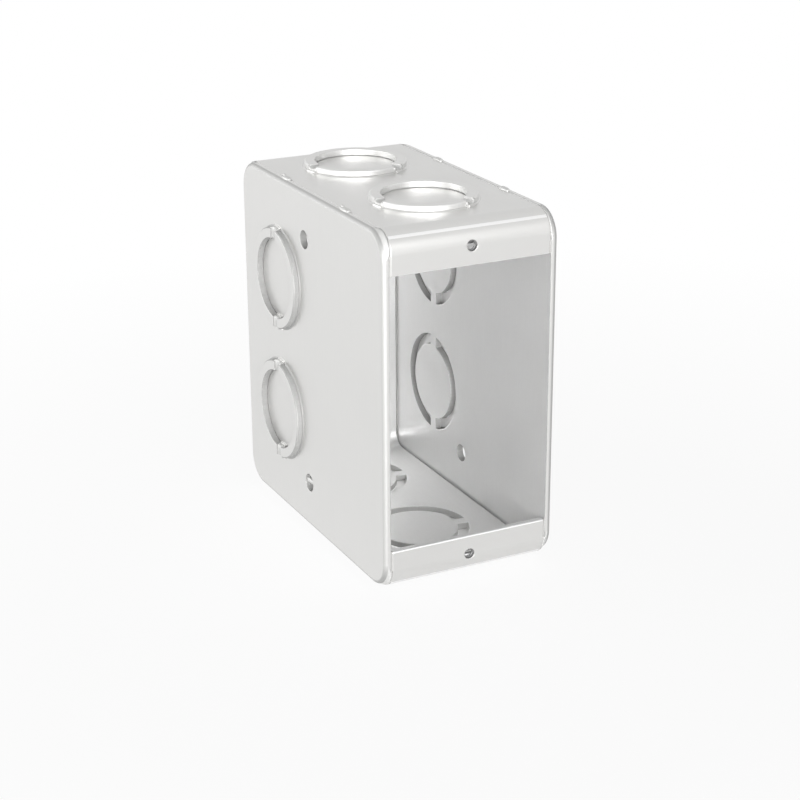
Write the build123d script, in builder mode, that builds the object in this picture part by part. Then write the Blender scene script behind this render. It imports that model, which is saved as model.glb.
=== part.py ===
from build123d import *
import os

# One-gang flush back box of galvanised sheet steel. A folded strip makes the top, back, bottom and the
# two front flanges, and a flat plate is welded to each side of it. X runs across the box, Y from the
# open front towards the back and Z up. The origin lies in the front plane of the flanges, half way
# between the two device screws.

# Overall sizes, outside
box_width = 49.2
box_height = 95.25
box_depth = 88.9

# Folded strip
sheet = 1.6
strip_bend_radius = 5.8
flange_height = 11.1
flange_lip_radius = 0.4
seam_groove = 0.5

# Side plates, of thicker sheet, with the outer rim rounded over
plate_sheet = 1.9
plate_corner_radius = 7.5
plate_rim_radius = 1.1
plate_inner_chamfer = 0.15

# Tapped holes for the device screws, in the middle of each flange and in from the top and bottom
device_screw_inset = 5.955
device_screw_bore = 2.9

# Double knockouts: a disc, and round it a ring that is half sheared out of the sheet
disc_diameter = 22.2
ring_diameter = 28.2
ring_rise = 1.7
ring_edge_break = 0.3
shear_gap = 0.2

# Ties that hold the ring to the sheet and the disc to the ring
tie_width = 3.2
tie_rise = 0.5
tie_grip = 0.5
tie_lap = 0.2
side_tie_angles = (92, 268)
top_tie_angles = (188, 300)
bottom_tie_angles = (8, 172)

# Knockout places, as depths behind the flanges and heights about the middle of the box
side_knockout_depth = 64.4
side_knockout_spacing = 38.1
side_knockout_lift = 0.5
top_knockout_depths = (25.9, 66.7)
bottom_knockout_depths = (29.4, 67.5)

# Nail holes through the side plates
nail_hole_diameter = 5.0
nail_hole_depth = 46.8
nail_hole_spacing = 69.2

# Weld nuggets that bridge the long seams between plate and strip
weld_length = 4.0
weld_width = 1.5
weld_height = 0.45
weld_root = 0.6
weld_crown_break = 0.3
top_weld_depths = (24.5, 61.5)
bottom_weld_depths = (27.0, 64.5)

# Sizes that follow from those above
half_width = box_width / 2
half_height = box_height / 2
strip_width = box_width - 2 * plate_sheet
device_screw_spacing = box_height - 2 * device_screw_inset
disc_radius = disc_diameter / 2
ring_radius = ring_diameter / 2
ring_middle_radius = (disc_radius + ring_radius) / 2
tie_length = ring_radius - disc_radius + shear_gap + 2 * tie_grip


def knockout(plane, thickness, tie_angles):
    """Ring, disc and ties of one double knockout, on a plane in the outer face of a wall."""
    with BuildPart() as blank:
        # Ring of the wall's own thickness, in two lengths that stop at the ties
        with BuildSketch(plane.offset(ring_rise - thickness)):
            Circle(ring_radius - shear_gap / 2)
            Circle(disc_radius + shear_gap / 2, mode=Mode.SUBTRACT)
            for angle in tie_angles:
                with PolarLocations(ring_middle_radius, 1, start_angle=angle):
                    Rectangle(tie_length, tie_width - 2 * tie_lap, mode=Mode.SUBTRACT)
        extrude(amount=thickness)
        crown = blank.faces().sort_by(Axis(plane.origin, plane.z_dir))[-2:]
        arcs = crown.edges().filter_by(GeomType.CIRCLE)
        outer_arcs = arcs.filter_by(lambda arc: arc.radius > ring_middle_radius)
        chamfer(outer_arcs, ring_edge_break)

        # Disc level with the wall
        with BuildSketch(plane):
            Circle(disc_radius - shear_gap / 2)
        extrude(amount=-thickness)

        # Ties across the ring, from the wall to the disc
        with BuildSketch(plane.offset(tie_rise)):
            for angle in tie_angles:
                with PolarLocations(ring_middle_radius, 1, start_angle=angle):
                    Rectangle(tie_length, tie_width)
        extrude(amount=-tie_rise - thickness)
    return blank.part


def weld_nuggets(seam, plate_side, depths):
    """Nuggets on a seam plane that looks outwards, with the plate on the given side of its Y axis."""
    places = [(0, depth) for depth in depths]
    with BuildPart() as nuggets:
        with BuildSketch(seam):
            with Locations(*places):
                SlotOverall(weld_length, weld_width, rotation=90)
        extrude(amount=weld_height)
        crowns = nuggets.faces().sort_by(Axis(seam.origin, seam.z_dir))[-len(depths) :]
        chamfer(crowns.edges(), weld_crown_break)

        # Root that runs down into the rim of the plate
        with BuildSketch(seam):
            with Locations(*places):
                SlotOverall(weld_length, weld_width, rotation=90)
            with Locations((plate_side * plate_sheet / 2, box_depth / 2)):
                Rectangle(plate_sheet, box_depth, mode=Mode.INTERSECT)
        extrude(amount=-weld_root)
    return nuggets.part


def side_plate(side):
    """Side plate with its two knockouts, on the left for side -1 and on the right for side 1."""
    outer = Plane(origin=(side * half_width, 0, 0), x_dir=(0, 1, 0), z_dir=(side, 0, 0))
    knockout_planes = []
    for end in (1, -1):
        height = side_knockout_lift + end * side_knockout_spacing / 2
        place = (side * half_width, side_knockout_depth, height)
        knockout_planes.append(Plane(origin=place, x_dir=(0, 1, 0), z_dir=(side, 0, 0)))
    blanks = [knockout(plane, plate_sheet, side_tie_angles) for plane in knockout_planes]

    seam_x = side * strip_width / 2
    top_seam = Plane(origin=(seam_x, 0, half_height), x_dir=(1, 0, 0), z_dir=(0, 0, 1))
    bottom_seam = Plane(origin=(seam_x, 0, -half_height), x_dir=(-1, 0, 0), z_dir=(0, 0, -1))
    welds = [
        weld_nuggets(top_seam, side, top_weld_depths),
        weld_nuggets(bottom_seam, -side, bottom_weld_depths),
    ]

    with BuildPart() as plate:
        with BuildSketch(outer):
            with Locations((box_depth / 2, 0)):
                RectangleRounded(box_depth, box_height, plate_corner_radius)
        extrude(amount=-plate_sheet)
        rims = plate.faces().sort_by(Axis(outer.origin, outer.z_dir))
        fillet(rims[-1].edges(), plate_rim_radius)
        chamfer(rims[0].edges(), plate_inner_chamfer)

        # Knockout openings and nail holes
        for plane in knockout_planes:
            with BuildSketch(plane):
                Circle(ring_radius + shear_gap / 2)
            extrude(amount=-plate_sheet, mode=Mode.SUBTRACT)
        with BuildSketch(outer):
            with Locations((nail_hole_depth, 0)):
                with GridLocations(0, nail_hole_spacing, 1, 2):
                    Circle(nail_hole_diameter / 2)
        extrude(amount=-plate_sheet, mode=Mode.SUBTRACT)
        add(blanks)
        add(welds)
    return plate


# Folded strip with a flange turned down and a flange turned up at the front
top_planes = []
for depth in top_knockout_depths:
    top_planes.append(Plane(origin=(0, depth, half_height), x_dir=(1, 0, 0), z_dir=(0, 0, 1)))
bottom_planes = []
for depth in bottom_knockout_depths:
    bottom_planes.append(Plane(origin=(0, depth, -half_height), x_dir=(1, 0, 0), z_dir=(0, 0, -1)))
strip_blanks = [knockout(plane, sheet, top_tie_angles) for plane in top_planes]
strip_blanks += [knockout(plane, sheet, bottom_tie_angles) for plane in bottom_planes]

with BuildPart() as wrap_strip:
    with BuildSketch(Plane.YZ):
        with Locations((box_depth / 2, 0)):
            RectangleRounded(box_depth, box_height, strip_bend_radius)
            RectangleRounded(
                box_depth - 2 * sheet, box_height - 2 * sheet, strip_bend_radius - sheet, mode=Mode.SUBTRACT
            )
        with Locations((sheet / 2, 0)):
            Rectangle(2 * sheet, box_height - 2 * flange_height, mode=Mode.SUBTRACT)
    extrude(amount=strip_width / 2, both=True)

    # Groove along the inside of each seam, where the sheared edge of the strip meets the plate
    inner_limit = Vector(0, box_depth / 2 - 0.75 * sheet, half_height - 0.75 * sheet)
    ends = wrap_strip.faces().sort_by(Axis.X)
    for end_face in (ends[0], ends[-1]):
        inner_run = end_face.edges().filter_by(
            lambda edge: abs(edge.center().Y - box_depth / 2) < inner_limit.Y
            and abs(edge.center().Z) < inner_limit.Z
        )
        chamfer(inner_run, seam_groove)

    # Rounded front lips of the flanges
    lip_height = half_height - flange_height
    front_edges = wrap_strip.edges().filter_by(Axis.X).filter_by_position(Axis.Y, -sheet / 2, sheet / 2)
    lips = front_edges.filter_by_position(Axis.Z, -lip_height - sheet / 2, lip_height + sheet / 2)
    fillet(lips, flange_lip_radius)

    # Knockout openings and knockouts
    for plane in top_planes + bottom_planes:
        with BuildSketch(plane):
            Circle(ring_radius + shear_gap / 2)
        extrude(amount=-sheet, mode=Mode.SUBTRACT)
    add(strip_blanks)

    # Device screw holes
    with BuildSketch(Plane.XZ):
        with GridLocations(0, device_screw_spacing, 1, 2):
            Circle(device_screw_bore / 2)
    extrude(amount=-sheet, mode=Mode.SUBTRACT)
wrap_strip.part.label = "wrap_strip"

left_side_plate = side_plate(-1)
left_side_plate.part.label = "left_side_plate"

right_side_plate = side_plate(1)
right_side_plate.part.label = "right_side_plate"

os.makedirs("parts", exist_ok=True)
for piece in (wrap_strip, left_side_plate, right_side_plate):
    export_step(piece.part, f"parts/{piece.part.label}.step")
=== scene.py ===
"""Flush back box of galvanised sheet steel: finishes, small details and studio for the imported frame.

The box is a folded strip with a plate welded to each side. X runs across it, Y from the open front to the
back and Z up, with the origin between the two device screws. Lengths on the box and the place of the camera
are in millimetres, and those of the floor and the lamps in metres.
"""

from __future__ import annotations

import logging
import math
from dataclasses import dataclass
from enum import Enum, IntEnum
from typing import Any

import bmesh
import bpy
from mathutils import Matrix, Vector


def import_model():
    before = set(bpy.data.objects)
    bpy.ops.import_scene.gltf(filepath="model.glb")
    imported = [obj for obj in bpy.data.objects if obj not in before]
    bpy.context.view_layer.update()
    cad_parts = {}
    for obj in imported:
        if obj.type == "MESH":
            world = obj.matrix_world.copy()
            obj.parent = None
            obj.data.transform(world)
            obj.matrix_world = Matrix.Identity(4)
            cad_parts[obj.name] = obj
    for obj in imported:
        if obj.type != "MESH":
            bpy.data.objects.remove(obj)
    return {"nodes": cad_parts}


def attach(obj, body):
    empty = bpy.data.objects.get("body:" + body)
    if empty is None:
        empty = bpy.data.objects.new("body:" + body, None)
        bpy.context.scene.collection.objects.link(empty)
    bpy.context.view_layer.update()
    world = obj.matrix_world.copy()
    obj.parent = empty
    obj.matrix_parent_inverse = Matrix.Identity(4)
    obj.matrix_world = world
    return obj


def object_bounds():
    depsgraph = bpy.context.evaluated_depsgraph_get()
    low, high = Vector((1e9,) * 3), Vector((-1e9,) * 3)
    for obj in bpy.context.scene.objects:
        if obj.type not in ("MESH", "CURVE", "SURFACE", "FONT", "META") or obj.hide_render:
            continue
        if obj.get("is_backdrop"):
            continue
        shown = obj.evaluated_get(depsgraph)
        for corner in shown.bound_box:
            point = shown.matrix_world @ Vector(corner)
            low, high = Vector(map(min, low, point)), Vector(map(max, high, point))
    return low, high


log = logging.getLogger("back_box")

Colour = tuple[float, float, float]
Point = tuple[float, float, float]
Pair = tuple[float, float]

MM = 0.001
WHITE = (1.0, 1.0, 1.0)


@dataclass(frozen=True)
class BoxSizes:
    """Outside sizes that the strip, the plates and their details share."""

    half_width: float = 24.6
    half_height: float = 47.625
    depth: float = 88.9
    half_strip_width: float = 22.7


BOX = BoxSizes()


class Channel:
    """One output socket of a shader graph, with arithmetic that adds Math nodes."""

    def __init__(self, graph: ShaderGraph, socket: bpy.types.NodeSocket | None) -> None:
        """Keep the graph and the socket that this channel stands for."""
        self.graph = graph
        self.socket = socket

    def _math(self, operation: str, first: Any, second: Any = None) -> Channel:
        """Result of a Math node on one value or channel, or on two where a second is given."""
        inputs = {0: first} if second is None else {0: first, 1: second}
        return self.graph.node("ShaderNodeMath", {"operation": operation}, inputs)

    def __add__(self, other: Any) -> Channel:
        """Sum of this channel and another value."""
        return self._math("ADD", self, other)

    __radd__ = __add__

    def __sub__(self, other: Any) -> Channel:
        """This channel less another value."""
        return self._math("SUBTRACT", self, other)

    def __rsub__(self, other: Any) -> Channel:
        """Another value less this channel."""
        return self._math("SUBTRACT", other, self)

    def __mul__(self, other: Any) -> Channel:
        """Product of this channel and another value."""
        return self._math("MULTIPLY", self, other)

    __rmul__ = __mul__

    def __truediv__(self, other: Any) -> Channel:
        """This channel divided by another value."""
        return self._math("DIVIDE", self, other)

    def __rtruediv__(self, other: Any) -> Channel:
        """Another value divided by this channel."""
        return self._math("DIVIDE", other, self)

    def __abs__(self) -> Channel:
        """Size of this channel without its sign."""
        return self._math("ABSOLUTE", self)

    def at_most(self, other: Any) -> Channel:
        """Smaller of this channel and another value."""
        return self._math("MINIMUM", self, other)

    def at_least(self, other: Any) -> Channel:
        """Larger of this channel and another value."""
        return self._math("MAXIMUM", self, other)

    def clamped(self) -> Channel:
        """This channel, held between nought and one."""
        return self.at_least(0.0).at_most(1.0)

    def below(self, other: Any) -> Channel:
        """One where this channel is less than another value, and nought elsewhere."""
        return self._math("LESS_THAN", self, other)

    def between(self, first: Any, second: Any) -> Channel:
        """Value that runs from the first to the second as this channel runs from nought to one."""
        return (second - first) * self + first


class MixSocket(IntEnum):
    """Places of the sockets that a Mix node has for colours."""

    FACTOR = 0
    FIRST = 6
    SECOND = 7
    RESULT = 2


class ShaderGraph:
    """Builds the nodes of one material or world."""

    def __init__(self, tree: bpy.types.NodeTree) -> None:
        """Empty the tree, so that every node in it is made here."""
        self.tree = tree
        tree.nodes.clear()

    def node(self, kind: str, settings: dict[str, Any], inputs: dict[Any, Any], output: Any = 0) -> Channel:
        """Add one node, set it up and feed its sockets.

        Args:
            kind: Blender's type name of the node.
            settings: Attributes of the node, which are set first.
            inputs: Values or channels by the input's name or place.
            output: Name or place of the output to return.

        Returns:
            The chosen output, which is empty for a node that has none.
        """
        node = self.tree.nodes.new(kind)
        for name, value in settings.items():
            setattr(node, name, value)
        for key, value in inputs.items():
            if isinstance(value, Channel):
                self.tree.links.new(value.socket, node.inputs[key])
            else:
                node.inputs[key].default_value = value
        return Channel(self, node.outputs[output] if node.outputs else None)

    def place_mm(self) -> Channel:
        """Place on the object in millimetres."""
        spot = self.node("ShaderNodeTexCoord", {}, {}, "Object")
        return self.node("ShaderNodeVectorMath", {"operation": "SCALE"}, {0: spot, "Scale": 1.0 / MM})

    def facing(self) -> Channel:
        """Direction that the face looks in."""
        return self.node("ShaderNodeTexCoord", {}, {}, "Normal")

    def stretched(self, place: Channel, factors: Point) -> Channel:
        """Place multiplied along each axis, so that a texture stretches along the smaller ones."""
        return self.node("ShaderNodeVectorMath", {"operation": "MULTIPLY"}, {0: place, 1: factors})

    def part(self, place: Channel, axis: str) -> Channel:
        """One coordinate of a place or of a direction."""
        return self.node("ShaderNodeSeparateXYZ", {}, {0: place}, axis)

    def distance_to(self, place: Channel, point: Point) -> Channel:
        """Distance in millimetres from a place to a fixed point."""
        return self.node("ShaderNodeVectorMath", {"operation": "DISTANCE"}, {0: place, 1: point}, "Value")

    def noise(self, place: Channel, scale: float, detail: float = 2.0, roughness: float = 0.6) -> Channel:
        """Soft noise from 0 to 1, whose scale is in features per millimetre."""
        inputs = {"Vector": place, "Scale": scale, "Detail": detail, "Roughness": roughness}
        return self.node("ShaderNodeTexNoise", {"noise_dimensions": "3D"}, inputs, "Fac")

    def tinted(self, factor: Any, first: Any, second: Any) -> Channel:
        """Mix two colours.

        Args:
            factor: Share of the second colour.
            first: Colour or channel that a factor of nought gives.
            second: Colour or channel that a factor of one gives.

        Returns:
            The mixed colour.
        """
        settings = {"data_type": "RGBA", "blend_type": "MIX", "clamp_factor": True}
        inputs = {MixSocket.FACTOR: factor}
        for socket, colour in ((MixSocket.FIRST, first), (MixSocket.SECOND, second)):
            inputs[socket] = colour if isinstance(colour, Channel) else (*colour, 1.0)
        return self.node("ShaderNodeMix", settings, inputs, MixSocket.RESULT)

    def tilted(
        self, relief: Channel, strength: float, depth: float, base: Channel | None = None
    ) -> Channel:
        """Tilt the normal by a relief.

        Args:
            relief: Height of the relief, from nought to one.
            strength: Share of the tilt that is kept.
            depth: Depth of the relief in millimetres.
            base: Normal that is tilted, or None for the face's own.

        Returns:
            The tilted normal.
        """
        inputs = {"Strength": strength, "Distance": depth * MM, "Height": relief}
        if base is not None:
            inputs["Normal"] = base
        return self.node("ShaderNodeBump", {}, inputs, "Normal")

    def shows_background(self) -> Channel:
        """Find the rays that see the background as plain white.

        Returns:
            One where the camera, a reflection or a see-through ray looks at it, and nought elsewhere.
        """
        camera = self.node("ShaderNodeLightPath", {}, {}, "Is Camera Ray")
        glossy = self.node("ShaderNodeLightPath", {}, {}, "Is Glossy Ray")
        through = self.node("ShaderNodeLightPath", {}, {}, "Is Transmission Ray")
        return camera.at_least(glossy).at_least(through)

    def close_with_metal(self, colour: Any, metallic: Any, roughness: Any, normal: Channel) -> None:
        """Close the graph with the shader of a metal.

        Args:
            colour: Base colour.
            metallic: How far it is bare metal, from nought to one.
            roughness: Roughness, from nought to one.
            normal: Normal of the face.
        """
        inputs = {"Base Color": colour, "Metallic": metallic, "Roughness": roughness, "Normal": normal}
        shader = self.node("ShaderNodeBsdfPrincipled", {}, inputs)
        self.node("ShaderNodeOutputMaterial", {}, {"Surface": shader})


def new_material(name: str) -> tuple[bpy.types.Material, ShaderGraph]:
    """Make a material with an empty graph.

    Args:
        name: Name of the material.

    Returns:
        The material and its graph.
    """
    material = bpy.data.materials.new(name)
    material.use_nodes = True
    return material, ShaderGraph(material.node_tree)


class Grain(Enum):
    """Direction in which the sheet was rolled, as the stretch of its fine lines along X, Y and Z."""

    DEPTH = (1.0, 0.03, 1.0)
    HEIGHT = (1.0, 1.0, 0.03)


class Face(Enum):
    """Axis that a wall looks along, with the factors that keep only the places within the wall."""

    ACROSS = ("X", (0.0, 1.0, 1.0))
    FRONT = ("Y", (1.0, 0.0, 1.0))
    UPRIGHT = ("Z", (1.0, 1.0, 0.0))

    def __init__(self, axis: str, within: Point) -> None:
        """Keep the axis and the factors apart."""
        self.axis = axis
        self.within = within


@dataclass(frozen=True)
class ShearedSteel:
    """Bare steel on the walls of a cut, with the drag lines that the punch left; at some uses its grey is a
    painted highlight or painted shade.

    The walls lie between the inner and the outer radius round each centre. As they stand, these are the
    radii of a knockout. Nearer to the middle of the box than inner_level, a share of zinc covers the steel.
    """

    face: Face
    centres: tuple[Point, ...]
    steel: Colour
    scored: Colour
    roughness: float
    metallic: float
    inner_radius: float = 10.9
    outer_radius: float = 14.4
    zinced: Colour = (0.80, 0.80, 0.80)
    inner_level: float = 0.0
    inner_share: float = 0.0
    sheet_facing: float = 0.85
    facing_contrast: float = 3.0
    radius_contrast: float = 8.0
    drag_scale: float = 4.0
    drag_stretch: float = 0.06

    def mask(self, graph: ShaderGraph, place: Channel) -> Channel:
        """Find the walls of the cuts.

        Args:
            graph: Graph to add the nodes to.
            place: Place on the object in millimetres.

        Returns:
            One on the walls round each centre, and nought on the sheet's own faces.
        """
        steep = abs(graph.part(graph.facing(), self.face.axis))
        wall = ((self.sheet_facing - steep) * self.facing_contrast).clamped()
        flat = graph.stretched(place, self.face.within)
        near: Any = 0.0
        for centre in self.centres:
            radius = graph.distance_to(flat, centre)
            inside = ((self.outer_radius - radius) * self.radius_contrast).clamped()
            outside = ((radius - self.inner_radius) * self.radius_contrast).clamped()
            near = inside * outside + near
        return wall * near

    def colour(self, graph: ShaderGraph, place: Channel) -> Channel:
        """Find the colour of the walls.

        Args:
            graph: Graph to add the nodes to.
            place: Place on the object in millimetres.

        Returns:
            Grey that varies from one drag line to the next, and is brighter on the box's inner side.
        """
        score = tuple(1.0 if factor else self.drag_stretch for factor in self.face.within)
        drag = graph.noise(graph.stretched(place, score), self.drag_scale)
        outer = graph.tinted(drag, self.steel, self.scored)
        if not self.inner_share:
            return outer
        inner = abs(graph.part(place, self.face.axis)).below(self.inner_level) * self.inner_share
        return graph.tinted(inner, outer, self.zinced)


@dataclass(frozen=True)
class PaintedRimShade:
    """Painted shade on the rolled rims of a plate: a darker grey where the face turns away from the side,
    with rougher zinc there.

    The level rims are those along the top and bottom, and the upright ones those at the front and back.
    """

    level: float
    upright: float
    upright_contrast: float
    level_contrast: float = 3.0
    # Grey of the painted rim shade.
    grey: Colour = (0.40, 0.40, 0.395)
    roughness: float = 0.62

    def mask(self, graph: ShaderGraph) -> Channel:
        """Find the rolled rims, where the face turns away from the side.

        Args:
            graph: Graph to add the nodes to.

        Returns:
            Share of painted shade and roughness, which is nought on the flat faces.
        """
        facing = graph.facing()
        across = graph.part(facing, "X")
        level = abs(across * graph.part(facing, "Z")) * self.level_contrast
        upright = abs(across * graph.part(facing, "Y")) * self.upright_contrast
        return level.at_most(1.0) * self.level + upright.at_most(1.0) * self.upright


@dataclass(frozen=True)
class PaintedInsideLight:
    """Painted light on the faces that look into the box: a brighter zinc than outside, with an optional
    painted shade line beside each seam.

    The half width, half height, front and rear bound the space inside. Outside them a face still counts
    where it is turned in: where its direction along the sheet's axis, times its place there in
    millimetres, lies below the value of that name.
    """

    # Painted light: brighter zinc that lifts the inside of the box.
    zinc: Colour = (0.93, 0.93, 0.93)
    roughness: float = 0.37
    half_width: float = 23.2
    half_height: float = 46.3
    front: float = 1.5
    rear: float = 87.5
    turned_in: float = -5.0
    seam_line: float | None = None
    # Grey of the painted shade line in the groove beside each seam.
    seam_shade_grey: Colour = (0.30, 0.30, 0.295)
    seam_shade_share: float = 0.6

    def mask(self, graph: ShaderGraph, place: Channel, face: Face) -> Channel:
        """Find the faces that look into the box.

        Args:
            graph: Graph to add the nodes to.
            place: Place on the object in millimetres.
            face: Axis that the sheet's broad faces look along.

        Returns:
            One on the inner faces, and nought on the outside of the box.
        """
        across = abs(graph.part(place, "X")).below(self.half_width)
        height = abs(graph.part(place, "Z")).below(self.half_height)
        depth = graph.part(place, "Y")
        within = across * height * depth.below(self.rear) * (1.0 - depth.below(self.front))
        turned = graph.part(graph.facing(), face.axis) * graph.part(place, face.axis)
        return within.at_least(turned.below(self.turned_in))

    def painted_seam_shade(self, graph: ShaderGraph, place: Channel) -> Channel:
        """Share of the painted shade line in the seam's groove, outwards of its distance from the middle of
        the box.
        """
        return (1.0 - abs(graph.part(place, "X")).below(self.seam_line)) * self.seam_shade_share


@dataclass(frozen=True)
class GalvanisedSheet:
    """Bright zinc coat on rolled steel sheet, with bare walls where it was cut."""

    name: str
    face: Face
    grain: Grain
    cuts: tuple[ShearedSteel, ...]
    inside: PaintedInsideLight
    rim_shade: PaintedRimShade | None = None
    zinc: Colour = (0.705, 0.702, 0.688)
    dulled: Colour = (0.655, 0.653, 0.643)
    metallic: float = 0.8
    roughness: float = 0.30
    roughness_spread: float = 0.06
    cloud_scale: float = 0.06
    cloud_share: float = 0.45
    line_scale: float = 3.0
    line_share: float = 0.35
    speckle_scale: float = 1.6
    speckle_share: float = 0.2
    inside_wear: float = 0.5
    edge_radius: float = 0.35
    edge_samples: int = 6
    relief_strength: float = 0.12
    relief_depth: float = 0.05

    def make(self) -> bpy.types.Material:
        """Build the material.

        Returns:
            Metal with faint rolling lines, cloudy zinc and a slightly uneven face.
        """
        material, graph = new_material(self.name)
        place = graph.place_mm()
        clouds = graph.noise(place, self.cloud_scale, detail=3.0, roughness=0.5)
        lines = graph.noise(graph.stretched(place, self.grain.value), self.line_scale, detail=3.0)
        speckle = graph.noise(place, self.speckle_scale)
        inner = self.inside.mask(graph, place, self.face)

        worn = clouds * self.cloud_share + lines * self.line_share + speckle * self.speckle_share
        coat = graph.tinted(worn, self.zinc, self.dulled)
        # Painted light: the inner faces take a brighter zinc than the outside.
        inside_light_colour = graph.tinted(worn * self.inside_wear, self.inside.zinc, self.dulled)
        colour = graph.tinted(inner, coat, inside_light_colour)
        if self.inside.seam_line is not None:
            # Painted shade: a dark line in the groove beside each seam inside the box.
            seam_shade_mask = self.inside.painted_seam_shade(graph, place) * inner
            colour = graph.tinted(seam_shade_mask, colour, self.inside.seam_shade_grey)

        smooth = self.roughness - self.roughness_spread
        rough = self.roughness + self.roughness_spread
        roughness = (lines * 0.5 + clouds * 0.5).between(smooth, rough)
        if self.rim_shade is not None:
            # Painted shade: the rims turn a darker grey and rougher where they face away from the side.
            rim = self.rim_shade.mask(graph)
            colour = graph.tinted(rim, colour, self.rim_shade.grey)
            roughness = rim.between(roughness, self.rim_shade.roughness)
        roughness = inner.between(roughness, self.inside.roughness)

        metallic: Any = self.metallic
        for cut in self.cuts:
            mask = cut.mask(graph, place)
            colour = graph.tinted(mask, colour, cut.colour(graph, place))
            roughness = mask.between(roughness, cut.roughness)
            metallic = mask.between(metallic, cut.metallic)

        bevel = {"Radius": self.edge_radius * MM}
        soft_edge = graph.node("ShaderNodeBevel", {"samples": self.edge_samples}, bevel, "Normal")
        relief = lines * 0.5 + speckle * 0.5
        normal = graph.tilted(relief, self.relief_strength, self.relief_depth, soft_edge)
        graph.close_with_metal(colour, metallic, roughness, normal)
        return material


@dataclass(frozen=True)
class MeltedMetal:
    """Steel and zinc that ran together in a weld or a torn tie, grey and a little lumpy."""

    name: str
    bright: Colour = (0.68, 0.68, 0.67)
    burnt: Colour = (0.50, 0.50, 0.49)
    metallic: float = 0.5
    roughness: float = 0.46
    smoother: float = 0.08
    rougher: float = 0.10
    patch_scale: float = 1.1
    grit_scale: float = 6.0
    relief_strength: float = 0.35
    relief_depth: float = 0.06

    def make(self) -> bpy.types.Material:
        """Build the material.

        Returns:
            Grey metal with burnt patches and a rough skin.
        """
        material, graph = new_material(self.name)
        place = graph.place_mm()
        patches = graph.noise(place, self.patch_scale, detail=3.0)
        grit = graph.noise(place, self.grit_scale)
        colour = graph.tinted(patches, self.bright, self.burnt)
        roughness = patches.between(self.roughness - self.smoother, self.roughness + self.rougher)
        normal = graph.tilted(grit, self.relief_strength, self.relief_depth)
        graph.close_with_metal(colour, self.metallic, roughness, normal)
        return material


@dataclass(frozen=True)
class StudioFloor:
    """Pale floor that keeps a soft shadow near the box and fades into the white background, in metres."""

    name: str = "studio_floor_paint"
    colour: Colour = (0.93, 0.93, 0.93)
    clear_radius: float = 0.10
    fade_radius: float = 0.32
    near_share: float = 0.92

    def make(self) -> bpy.types.Material:
        """Build the material.

        Returns:
            Matt paint near the object that turns into plain white away from it.
        """
        material, graph = new_material(self.name)
        spot = graph.node("ShaderNodeTexCoord", {}, {}, "Object")
        radius = graph.node("ShaderNodeVectorMath", {"operation": "LENGTH"}, {0: spot}, "Value")
        fade = (radius - self.clear_radius) / (self.fade_radius - self.clear_radius)
        share = fade.clamped().between(self.near_share, 1.0) * graph.shows_background()
        paint = graph.node("ShaderNodeBsdfDiffuse", {}, {"Color": (*self.colour, 1.0)})
        white = graph.node("ShaderNodeEmission", {}, {"Color": (*WHITE, 1.0), "Strength": 1.0})
        mixed = graph.node("ShaderNodeMixShader", {}, {0: share, 1: paint, 2: white})
        graph.node("ShaderNodeOutputMaterial", {}, {"Surface": mixed})
        return material


@dataclass(frozen=True)
class Softbox:
    """Rectangular lamp that looks at the box, in metres and watts."""

    name: str
    place: Point
    width: float
    height: float
    power: float
    target: Point = (0.0, 0.04, 0.0)

    def build(self) -> None:
        """Make the lamp and turn it to its target."""
        lamp = bpy.data.lights.new(self.name, "AREA")
        lamp.shape = "RECTANGLE"
        lamp.size = self.width
        lamp.size_y = self.height
        lamp.energy = self.power
        item = bpy.data.objects.new(self.name, lamp)
        item.location = self.place
        aim = Vector(self.target) - Vector(self.place)
        item.rotation_euler = aim.to_track_quat("-Z", "Y").to_euler()
        bpy.context.scene.collection.objects.link(item)


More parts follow.
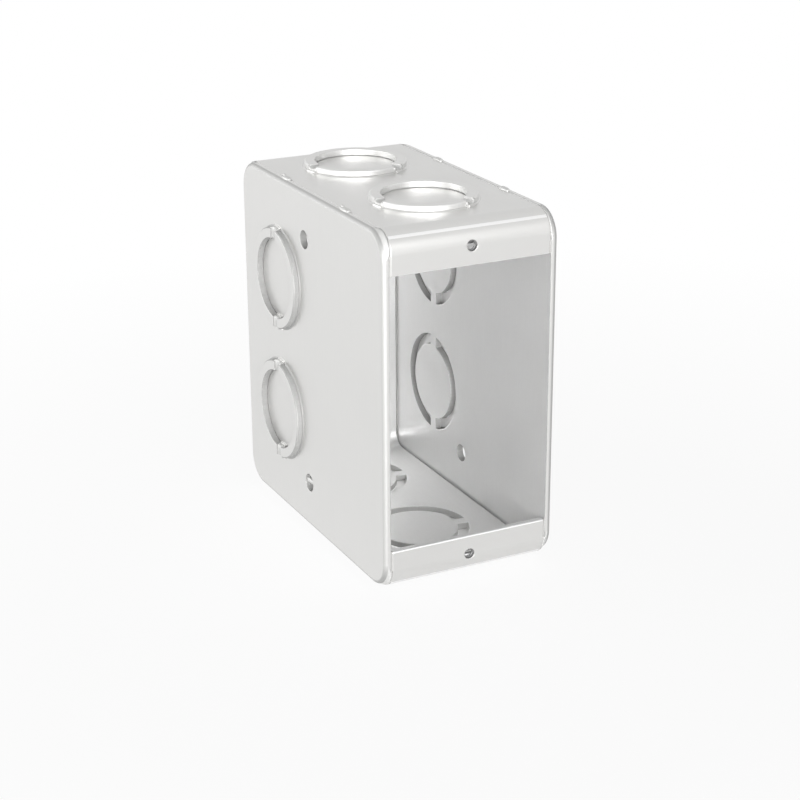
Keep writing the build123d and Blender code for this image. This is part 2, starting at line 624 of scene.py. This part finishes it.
@dataclass
class Studio:
    """World, floor and lamps round the box, in metres."""

    floor_level: float
    ambient: float = 0.12
    floor_size: float = 6.0
    lamps: tuple[Softbox, ...] = (
        Softbox("front_softbox", (-0.5, -1.58, 0.18), width=1.5, height=0.5, power=30.0),
        Softbox("upper_softbox", (0.0, -1.432, 0.85), width=1.4, height=0.7, power=3.5),
        Softbox("left_softbox", (-1.5, -0.80, 0.25), width=1.2, height=0.8, power=11.3),
        Softbox("rear_softbox", (-1.40, 0.95, 0.45), width=1.6, height=1.2, power=13.0),
    )

    def build(self) -> None:
        """Make the world, the floor and the lamps."""
        self._world()
        self._floor()
        for lamp in self.lamps:
            lamp.build()
            log.info("%s lit", lamp.name)

    def _world(self) -> None:
        """White background for the rays that show it, and an even ambient for the rest."""
        world = bpy.data.worlds.new("studio_world")
        world.use_nodes = True
        bpy.context.scene.world = world
        graph = ShaderGraph(world.node_tree)
        strength = graph.shows_background().between(self.ambient, 1.0)
        light = graph.node("ShaderNodeBackground", {}, {"Color": (*WHITE, 1.0), "Strength": strength})
        graph.node("ShaderNodeOutputWorld", {}, {"Surface": light})

    def _floor(self) -> None:
        """Flat floor at the level of the lowest point of the box."""
        half = self.floor_size / 2.0
        mesh = bpy.data.meshes.new("studio_floor")
        corners = [(-half, -half, 0.0), (half, -half, 0.0), (half, half, 0.0), (-half, half, 0.0)]
        mesh.from_pydata(corners, [], [(0, 1, 2, 3)])
        mesh.materials.append(StudioFloor().make())
        floor = bpy.data.objects.new("studio_floor", mesh)
        floor.location = (0.0, 0.0, self.floor_level)
        bpy.context.scene.collection.objects.link(floor)
        floor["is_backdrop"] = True


@dataclass
class ProductCamera:
    """Camera at the photograph's place and angle, in millimetres and degrees."""

    place: Point = (-213.79, -388.46, 168.71)
    azimuth: float = -26.510
    elevation: float = 20.704
    roll: float = -0.288
    lens: float = 84.294
    sensor_width: float = 36.0
    clip_start: float = 10.0

    def build(self) -> None:
        """Make the camera and give it to the scene."""
        camera = bpy.data.cameras.new("product_camera")
        camera.lens = self.lens
        camera.sensor_width = self.sensor_width
        camera.clip_start = self.clip_start * MM
        item = bpy.data.objects.new("product_camera", camera)
        turn = math.radians(self.azimuth)
        tilt = math.radians(self.elevation)
        level = math.cos(tilt)
        forward = Vector((-math.sin(turn) * level, math.cos(turn) * level, -math.sin(tilt)))
        basis = forward.to_track_quat("-Z", "Y").to_matrix().to_4x4()
        spin = Matrix.Rotation(math.radians(self.roll), 4, "Z")
        item.matrix_world = Matrix.Translation(Vector(self.place) * MM) @ basis @ spin
        bpy.context.scene.collection.objects.link(item)
        bpy.context.scene.camera = item


class LoftedPiece:
    """Mesh made of closed rings of points, each joined to the next and capped at both ends."""

    def __init__(self, name: str) -> None:
        """Start an empty mesh for one piece."""
        self.name = name
        self.mesh = bmesh.new()

    def add(self, rings: list[list[Vector]], endless: bool = False) -> None:
        """Join rings of points into one closed skin.

        Args:
            rings: Rings of equally many points, in millimetres.
            endless: Whether the last ring joins the first, in place of two end caps.
        """
        loops = [[self.mesh.verts.new(point * MM) for point in ring] for ring in rings]
        followers = loops[1:] + loops[:1] if endless else loops[1:]
        count = len(loops[0])
        for first, second in zip(loops, followers, strict=False):
            for index in range(count):
                after = (index + 1) % count
                self.mesh.faces.new((first[index], first[after], second[after], second[index]))
        if not endless:
            self.mesh.faces.new(list(reversed(loops[0])))
            self.mesh.faces.new(loops[-1])

    def finish(self, material: bpy.types.Material) -> None:
        """Turn the mesh into a piece that rides on the box.

        Args:
            material: Finish of the piece.
        """
        bmesh.ops.recalc_face_normals(self.mesh, faces=self.mesh.faces)
        data = bpy.data.meshes.new(self.name)
        self.mesh.to_mesh(data)
        self.mesh.free()
        data.shade_smooth()
        data.materials.append(material)
        piece = bpy.data.objects.new(self.name, data)
        bpy.context.scene.collection.objects.link(piece)
        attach(piece, "root")
        log.info("%s: %d faces", self.name, len(data.polygons))


@dataclass(frozen=True)
class WallPlace:
    """Place on the outside of a wall, with one direction along the wall and one out of it."""

    origin: Vector
    along: Vector
    outward: Vector

    def at(self, first: float, second: float, height: float) -> Vector:
        """Point at two distances along the wall and one out of it."""
        beside = self.outward.cross(self.along)
        return self.origin + self.along * first + beside * second + self.outward * height

    def round(self, radius: float, angle: float, shift: float, height: float) -> Vector:
        """Find a point beside a spoke that runs out from the origin.

        Args:
            radius: Distance along the spoke.
            angle: Angle of the spoke in degrees.
            shift: Distance across the spoke.
            height: Distance out of the wall.

        Returns:
            The point in millimetres.
        """
        turn = math.radians(angle)
        first = radius * math.cos(turn) - shift * math.sin(turn)
        second = radius * math.sin(turn) + shift * math.cos(turn)
        return self.at(first, second, height)


@dataclass(frozen=True)
class TieWeb:
    """Web of torn metal that dips from one end of a ring over a tie to its other end."""

    inner_radius: float = 11.05
    outer_radius: float = 14.22
    half_span: float = 1.75
    high: float = 1.64
    root: float = -0.05
    shoulder: float = 0.35
    shoulder_bulge: float = 0.3
    dip_power: float = 2.4
    steps: int = 14

    def add_to(self, piece: LoftedPiece, wall: WallPlace, angle: float, low: float) -> None:
        """Loft one web across a tie.

        Args:
            piece: Piece that the web becomes a part of.
            wall: Place of the knockout's middle.
            angle: Angle of the tie in degrees.
            low: Height of the dip over the wall.
        """
        bulge = self.shoulder_bulge * self.shoulder
        rings = []
        for step in range(self.steps + 1):
            share = 2.0 * step / self.steps - 1.0
            height = low + (self.high - low) * abs(share) ** self.dip_power
            section = (
                (self.inner_radius, self.root),
                (self.inner_radius, height - self.shoulder),
                (self.inner_radius + bulge, height - bulge),
                (self.inner_radius + self.shoulder, height),
                (self.outer_radius - self.shoulder, height),
                (self.outer_radius - bulge, height - bulge),
                (self.outer_radius, height - self.shoulder),
                (self.outer_radius, self.root),
            )
            shift = share * self.half_span
            rings.append([wall.round(radius, angle, shift, rise) for radius, rise in section])
        piece.add(rings)


@dataclass(frozen=True)
class DrawnEdge:
    """Sheet that was drawn up a little all round a ring when the ring was pressed out.

    Its section is a list of pairs, radius and height over the wall.
    """

    section: tuple[Pair, ...] = (
        (13.9, -0.1),
        (13.9, 0.36),
        (14.06, 0.17),
        (14.25, 0.06),
        (14.50, 0.012),
        (14.8, -0.1),
    )
    steps: int = 96

    def add_to(self, piece: LoftedPiece, wall: WallPlace) -> None:
        """Loft the drawn edge round one knockout.

        Args:
            piece: Piece that the edge becomes a part of.
            wall: Place of the knockout's middle.
        """
        rings = []
        for step in range(self.steps):
            angle = 360.0 * step / self.steps
            rings.append([wall.round(radius, angle, 0.0, rise) for radius, rise in self.section])
        piece.add(rings, endless=True)


@dataclass(frozen=True)
class PlateCorner:
    """One corner of a side plate."""

    side: float
    up: float
    rear: bool

    def placed(self, spot: Vector) -> Vector:
        """Point of the upper front corner on the right, moved to this corner."""
        depth = BOX.depth - spot.y if self.rear else spot.y
        return Vector((self.side * spot.x, depth, self.up * spot.z))


@dataclass(frozen=True)
class CornerFill:
    """Zinc that fills the step between the bend of the strip and the corner of a plate.

    Each point of its section is a pair: how far it lies in from the arc of the strip or of the plate, and
    how far outwards from the seam.
    """

    strip_radius: float = 5.8
    plate_radius: float = 7.5
    first_angle: float = 2.0
    last_angle: float = 88.0
    swell: float = 0.04
    strip_skin: tuple[Pair, ...] = ((0.0, -0.25), (0.06, 0.08))
    middle: Pair = (0.0, 0.35)
    plate_skin: tuple[Pair, ...] = ((0.0, 0.8), (0.12, 1.15))
    plate_root: Pair = (0.9, 0.9)
    strip_root: Pair = (0.9, -0.2)
    steps: int = 24

    def _spot(self, turn: float, radius: float, point: Pair) -> Vector:
        """Find a point of the section at the upper front corner on the right.

        Args:
            turn: Angle round the corner in radians, from the top towards the front.
            radius: Radius of the arc.
            point: How far in from the arc, and how far outwards from the seam.

        Returns:
            The point in millimetres.
        """
        inset, outwards = point
        reach = radius + self.swell * math.sin(2.0 * turn) - inset
        depth = radius - reach * math.sin(turn)
        height = BOX.half_height - radius + reach * math.cos(turn)
        return Vector((BOX.half_strip_width + outwards, depth, height))

    def _ring(self, turn: float) -> list[Vector]:
        """Find one section of the fill.

        Args:
            turn: Angle round the corner in radians.

        Returns:
            Points of the section, from the strip's skin over the plate's to the roots.
        """
        on_strip = self._spot(turn, self.strip_radius, self.middle)
        on_plate = self._spot(turn, self.plate_radius, self.middle)
        ring = [self._spot(turn, self.strip_radius, point) for point in self.strip_skin]
        ring.append((on_strip + on_plate) / 2.0)
        ring += [self._spot(turn, self.plate_radius, point) for point in self.plate_skin]
        ring.append(self._spot(turn, self.plate_radius, self.plate_root))
        ring.append(self._spot(turn, self.strip_radius, self.strip_root))
        return ring

    def add_to(self, piece: LoftedPiece, corner: PlateCorner) -> None:
        """Loft the fill of one corner of a plate.

        Args:
            piece: Piece that the fill becomes a part of.
            corner: Corner to fill.
        """
        rings = []
        for step in range(self.steps + 1):
            angle = self.first_angle + (self.last_angle - self.first_angle) * step / self.steps
            rings.append([corner.placed(spot) for spot in self._ring(math.radians(angle))])
        piece.add(rings)


@dataclass(frozen=True)
class WeldBead:
    """Lumpy bead on a seam, laid along the seam.

    Its lumps are waves, measured in radians over half its length or half its width.
    """

    half_length: float = 2.2
    half_width: float = 0.95
    height: float = 0.60
    root: float = 0.7
    root_share: float = 0.8
    end_share: float = 0.985
    end_width: float = 0.35
    end_power: float = 3.0
    crown_power: float = 2.5
    lump_height: float = 0.10
    waves_along: float = 5.0
    waves_askew: float = 2.0
    waves_across: float = 3.0
    steps: int = 18
    arc_steps: int = 12

    def _lump(self, share: float, side: float) -> float:
        """Factor on the height at a share of the length and of the width."""
        askew = math.sin(self.waves_along * share + self.waves_askew * side)
        return 1.0 + self.lump_height * askew * math.cos(self.waves_across * side)

    def add_to(self, piece: LoftedPiece, wall: WallPlace) -> None:
        """Loft one bead whose length lies along the wall's direction.

        Args:
            piece: Piece that the bead becomes a part of.
            wall: Place of the bead's middle.
        """
        rings = []
        for step in range(self.steps + 1):
            share = self.end_share * (2.0 * step / self.steps - 1.0)
            fall = math.sqrt(1.0 - abs(share) ** self.end_power)
            along = share * self.half_length
            width = self.half_width * (self.end_width + (1.0 - self.end_width) * fall)
            ring = []
            for index in range(self.arc_steps + 1):
                side = 2.0 * index / self.arc_steps - 1.0
                crown = math.sqrt(1.0 - abs(side) ** self.crown_power)
                height = self.height * fall * crown * self._lump(share, side)
                ring.append(wall.at(along, side * width, height))
            for side in (self.root_share, -self.root_share):
                ring.append(wall.at(along, side * self.half_width, -self.root))
            rings.append(ring)
        piece.add(rings)


@dataclass(frozen=True)
class ScrewThread:
    """Helical ridge in a tapped hole through a flange."""

    bore_radius: float = 1.5
    crest_radius: float = 1.15
    pitch: float = 0.794
    half_width: float = 0.33
    half_crest: float = 0.08
    start: float = 0.38
    turns: float = 1.1
    steps: int = 40

    def add_to(self, piece: LoftedPiece, height: float) -> None:
        """Loft the ridge of one hole, from the front to the back of the flange.

        Args:
            piece: Piece that the ridge becomes a part of.
            height: Height of the hole's middle.
        """
        section = (
            (self.bore_radius, -self.half_width),
            (self.crest_radius, -self.half_crest),
            (self.crest_radius, self.half_crest),
            (self.bore_radius, self.half_width),
        )
        rings = []
        for step in range(self.steps + 1):
            turns = self.turns * step / self.steps
            turn = 2.0 * math.pi * turns
            depth = self.start + self.pitch * turns
            ring = []
            for radius, shift in section:
                across = radius * math.cos(turn)
                ring.append(Vector((across, depth + shift, height + radius * math.sin(turn))))
            rings.append(ring)
        piece.add(rings)


@dataclass(frozen=True)
class ZincWeb:
    """Skin of zinc that stayed across the middle of a nail hole when the plate was dipped.

    A point of its front is a pair: a share of the half height, and how far the point lies back.
    """

    half_span: float = 2.62
    half_height: float = 0.75
    waist: float = 0.75
    flare: float = 0.45
    thickness: float = 0.7
    recess: float = 0.35
    sag: float = 0.25
    front_points: tuple[Pair, ...] = ((-1.0, 0.18), (-0.5, 0.03), (0.0, 0.0), (0.5, 0.03), (1.0, 0.18))
    rear_points: tuple[float, ...] = (0.9, 0.0, -0.9)
    steps: int = 12

    def add_to(self, piece: LoftedPiece, wall: WallPlace) -> None:
        """Loft the skin from one side of the hole to the other.

        Args:
            piece: Piece that the skin becomes a part of.
            wall: Place of the hole's middle.
        """
        rings = []
        for step in range(self.steps + 1):
            share = 2.0 * step / self.steps - 1.0
            along = share * self.half_span
            spread = self.half_height * (self.waist + self.flare * share * share)
            back = self.recess + self.sag * (1.0 - share * share)
            ring = [wall.at(along, side * spread, -back - dip) for side, dip in self.front_points]
            ring += [wall.at(along, side * spread, -back - self.thickness) for side in self.rear_points]
            rings.append(ring)
        piece.add(rings)


@dataclass
class FoldedStrip:
    """Strip that makes the top, the back, the bottom and the two flanges.

    A tie is a pair: its angle in degrees, and the height of the web over it.
    """

    node: str = "wrap_strip"
    top_knockout_depths: Pair = (25.9, 66.7)
    bottom_knockout_depths: Pair = (29.4, 67.5)
    top_ties: tuple[Pair, ...] = ((188.0, 1.0), (300.0, 0.7))
    bottom_ties: tuple[Pair, ...] = ((8.0, 0.85), (172.0, 0.85))
    screw_height: float = 41.67
    screw_wall_radius: float = 1.7
    seam_line: float = 22.15

    def _cuts(self) -> tuple[ShearedSteel, ...]:
        """Find the bare walls of the strip.

        Returns:
            The walls of its knockouts and those of its device screw holes.
        """
        depths = self.top_knockout_depths + self.bottom_knockout_depths
        # Painted highlight: the ring walls take a bright steel so that they read as lit.
        rings = ShearedSteel(
            Face.UPRIGHT,
            centres=tuple((0.0, depth, 0.0) for depth in depths),
            steel=(0.80, 0.80, 0.79),
            scored=(0.70, 0.70, 0.69),
            roughness=0.36,
            metallic=0.7,
        )
        # Painted shade: the screw bores take a near-black steel for the shade inside the holes.
        shaded_bores = ShearedSteel(
            Face.FRONT,
            centres=((0.0, 0.0, self.screw_height), (0.0, 0.0, -self.screw_height)),
            steel=(0.26, 0.26, 0.26),
            scored=(0.18, 0.18, 0.18),
            roughness=0.6,
            metallic=0.2,
            inner_radius=-1.0,
            outer_radius=self.screw_wall_radius,
        )
        return rings, shaded_bores

    def build(self, nodes: dict[str, bpy.types.Object]) -> None:
        """Dress the strip and add its small pieces.

        Args:
            nodes: Objects of the frame by the names of their nodes.
        """
        strip = nodes[self.node]
        strip.data.materials.clear()
        sheet = GalvanisedSheet(
            "strip_zinc",
            Face.UPRIGHT,
            Grain.DEPTH,
            self._cuts(),
            # Painted light inside the strip, and a painted shade line beside each seam.
            PaintedInsideLight(seam_line=self.seam_line),
            zinc=(0.685, 0.681, 0.668),
            dulled=(0.625, 0.622, 0.612),
        )
        strip.data.materials.append(sheet.make())
        log.info("%s dressed", self.node)
        self._knockout_details()
        self._threads()

    def _knockout_details(self) -> None:
        """Webs over the ties and drawn edges round the rings of the top and bottom knockouts."""
        webs = LoftedPiece("strip_tie_webs")
        edges = LoftedPiece("strip_drawn_edges")
        rows = (
            (1.0, self.top_knockout_depths, self.top_ties),
            (-1.0, self.bottom_knockout_depths, self.bottom_ties),
        )
        for side, depths, ties in rows:
            for depth in depths:
                origin = Vector((0.0, depth, side * BOX.half_height))
                wall = WallPlace(origin, Vector((1.0, 0.0, 0.0)), Vector((0.0, 0.0, side)))
                DrawnEdge().add_to(edges, wall)
                for angle, low in ties:
                    TieWeb().add_to(webs, wall, angle, low)
        webs.finish(MeltedMetal("strip_tie_metal").make())
        edges.finish(bpy.data.materials["strip_zinc"])

    def _threads(self) -> None:
        """Threads in the two device screw holes."""
        piece = LoftedPiece("device_screw_threads")
        for height in (self.screw_height, -self.screw_height):
            ScrewThread().add_to(piece, height)
        # Painted shade: the threads take a near-black steel for the shade inside the holes.
        steel = MeltedMetal("thread_painted_shade", bright=(0.30, 0.30, 0.30), burnt=(0.18, 0.18, 0.18))
        piece.finish(steel.make())


@dataclass
class SidePlate:
    """Plate welded to one side of the strip.

    A tie is a pair: its angle in degrees, and the height of the web over it.
    """

    node: str
    side: float
    rim_shade: PaintedRimShade
    spattered: bool = False
    top_weld_depths: Pair = (24.5, 61.5)
    bottom_weld_depths: Pair = (27.0, 64.5)
    weld_shift: float = 0.1
    spatter: WeldBead = WeldBead(half_length=0.54, half_width=0.45, height=0.42)
    spatter_shift: Point = (0.9, 3.6, 0.0)
    ties: tuple[Pair, ...] = ((92.0, 1.15), (268.0, 1.0))
    knockout_depth: float = 64.4
    knockout_heights: Pair = (19.55, -18.55)
    ring_inner_level: float = 24.55
    nail_hole_depth: float = 46.8
    nail_hole_heights: Pair = (34.6, -34.6)
    nail_hole_wall_radius: float = 2.7

    def _cuts(self) -> tuple[ShearedSteel, ...]:
        """Find the bare walls of the plate.

        Returns:
            The walls of its knockouts and those of its nail holes.
        """
        # Painted shade: the ring walls take a dark steel so that they read as shaded.
        rings = ShearedSteel(
            Face.ACROSS,
            centres=tuple((0.0, self.knockout_depth, height) for height in self.knockout_heights),
            steel=(0.43, 0.43, 0.425),
            scored=(0.33, 0.33, 0.325),
            roughness=0.72,
            metallic=0.15,
            inner_level=self.ring_inner_level,
            inner_share=0.15,
        )
        nail_holes = ShearedSteel(
            Face.ACROSS,
            centres=tuple((0.0, self.nail_hole_depth, height) for height in self.nail_hole_heights),
            steel=(0.45, 0.45, 0.44),
            scored=(0.36, 0.36, 0.355),
            roughness=0.6,
            metallic=0.3,
            inner_radius=0.0,
            outer_radius=self.nail_hole_wall_radius,
        )
        return rings, nail_holes

    def build(self, nodes: dict[str, bpy.types.Object]) -> None:
        """Dress the plate and add its small pieces.

        Args:
            nodes: Objects of the frame by the names of their nodes.
        """
        plate = nodes[self.node]
        plate.data.materials.clear()
        # Painted light: the plate's inner faces take the brighter inside zinc.
        inside = PaintedInsideLight(roughness=0.48)
        sheet = GalvanisedSheet(
            f"{self.node}_zinc", Face.ACROSS, Grain.HEIGHT, self._cuts(), inside, self.rim_shade
        )
        plate.data.materials.append(sheet.make())
        log.info("%s dressed", self.node)
        self._knockout_details()
        self._corner_fills()
        self._welds()

    def _wall(self, depth: float, height: float) -> WallPlace:
        """Place on the outer face of the plate."""
        origin = Vector((self.side * BOX.half_width, depth, height))
        return WallPlace(origin, Vector((0.0, 1.0, 0.0)), Vector((self.side, 0.0, 0.0)))

    def _knockout_details(self) -> None:
        """Webs over the ties and drawn edges round the rings of the two knockouts."""
        webs = LoftedPiece(f"{self.node}_tie_webs")
        edges = LoftedPiece(f"{self.node}_drawn_edges")
        for height in self.knockout_heights:
            wall = self._wall(self.knockout_depth, height)
            DrawnEdge().add_to(edges, wall)
            for angle, low in self.ties:
                TieWeb().add_to(webs, wall, angle, low)
        webs.finish(MeltedMetal(f"{self.node}_tie_metal").make())
        edges.finish(bpy.data.materials[f"{self.node}_zinc"])

    def _corner_fills(self) -> None:
        """Fills at the four corners of the plate."""
        piece = LoftedPiece(f"{self.node}_corner_fills")
        for up in (1.0, -1.0):
            for rear in (False, True):
                CornerFill().add_to(piece, PlateCorner(self.side, up, rear))
        zinc = MeltedMetal(
            f"{self.node}_corner_zinc",
            bright=(0.64, 0.64, 0.63),
            burnt=(0.56, 0.56, 0.55),
            metallic=0.35,
            roughness=0.5,
        )
        piece.finish(zinc.make())

    def _welds(self) -> None:
        """Beads along the upper and the lower seam, each with a drop beside it where they spattered."""
        piece = LoftedPiece(f"{self.node}_weld_beads")
        seam_across = self.side * (BOX.half_strip_width + self.weld_shift)
        for up, depths in ((1.0, self.top_weld_depths), (-1.0, self.bottom_weld_depths)):
            for depth in depths:
                seam = Vector((seam_across, depth, up * BOX.half_height))
                wall = WallPlace(seam, Vector((0.0, 1.0, 0.0)), Vector((0.0, 0.0, up)))
                WeldBead().add_to(piece, wall)
                if self.spattered:
                    beside = WallPlace(seam + Vector(self.spatter_shift), wall.along, wall.outward)
                    self.spatter.add_to(piece, beside)
        metal = MeltedMetal(
            f"{self.node}_weld_metal",
            bright=(0.67, 0.67, 0.66),
            burnt=(0.55, 0.55, 0.54),
            metallic=0.7,
            roughness=0.42,
        )
        piece.finish(metal.make())

    def leave_zinc_web(self) -> None:
        """Leave a skin of zinc across the lower nail hole."""
        piece = LoftedPiece(f"{self.node}_zinc_web")
        ZincWeb().add_to(piece, self._wall(self.nail_hole_depth, self.nail_hole_heights[1]))
        zinc = MeltedMetal(f"{self.node}_web_zinc", bright=(0.72, 0.72, 0.71), burnt=(0.6, 0.6, 0.59))
        piece.finish(zinc.make())


def main() -> None:
    """Load the frame, build everything and report each piece."""
    logging.basicConfig(level=logging.INFO, format="%(name)s: %(message)s")
    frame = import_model()
    cad_box = [list(corner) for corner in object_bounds()]
    nodes = frame["nodes"]
    FoldedStrip().build(nodes)
    # Painted shade on the plates' rims, strongest on the upright rims of the right plate.
    left_rim_shade = PaintedRimShade(level=0.85, upright=0.45, upright_contrast=4.0)
    left_plate = SidePlate("left_side_plate", -1.0, left_rim_shade, spattered=True)
    left_plate.build(nodes)
    left_plate.leave_zinc_web()
    right_rim_shade = PaintedRimShade(level=0.8, upright=0.9, upright_contrast=9.0)
    SidePlate("right_side_plate", 1.0, right_rim_shade).build(nodes)
    Studio(floor_level=cad_box[0][2]).build()
    ProductCamera().build()
    scene = bpy.context.scene
    scene.view_settings.view_transform = "Standard"
    scene.cycles.glossy_bounces = 12
    scene.cycles.diffuse_bounces = 8


if __name__ == "__main__":
    main()
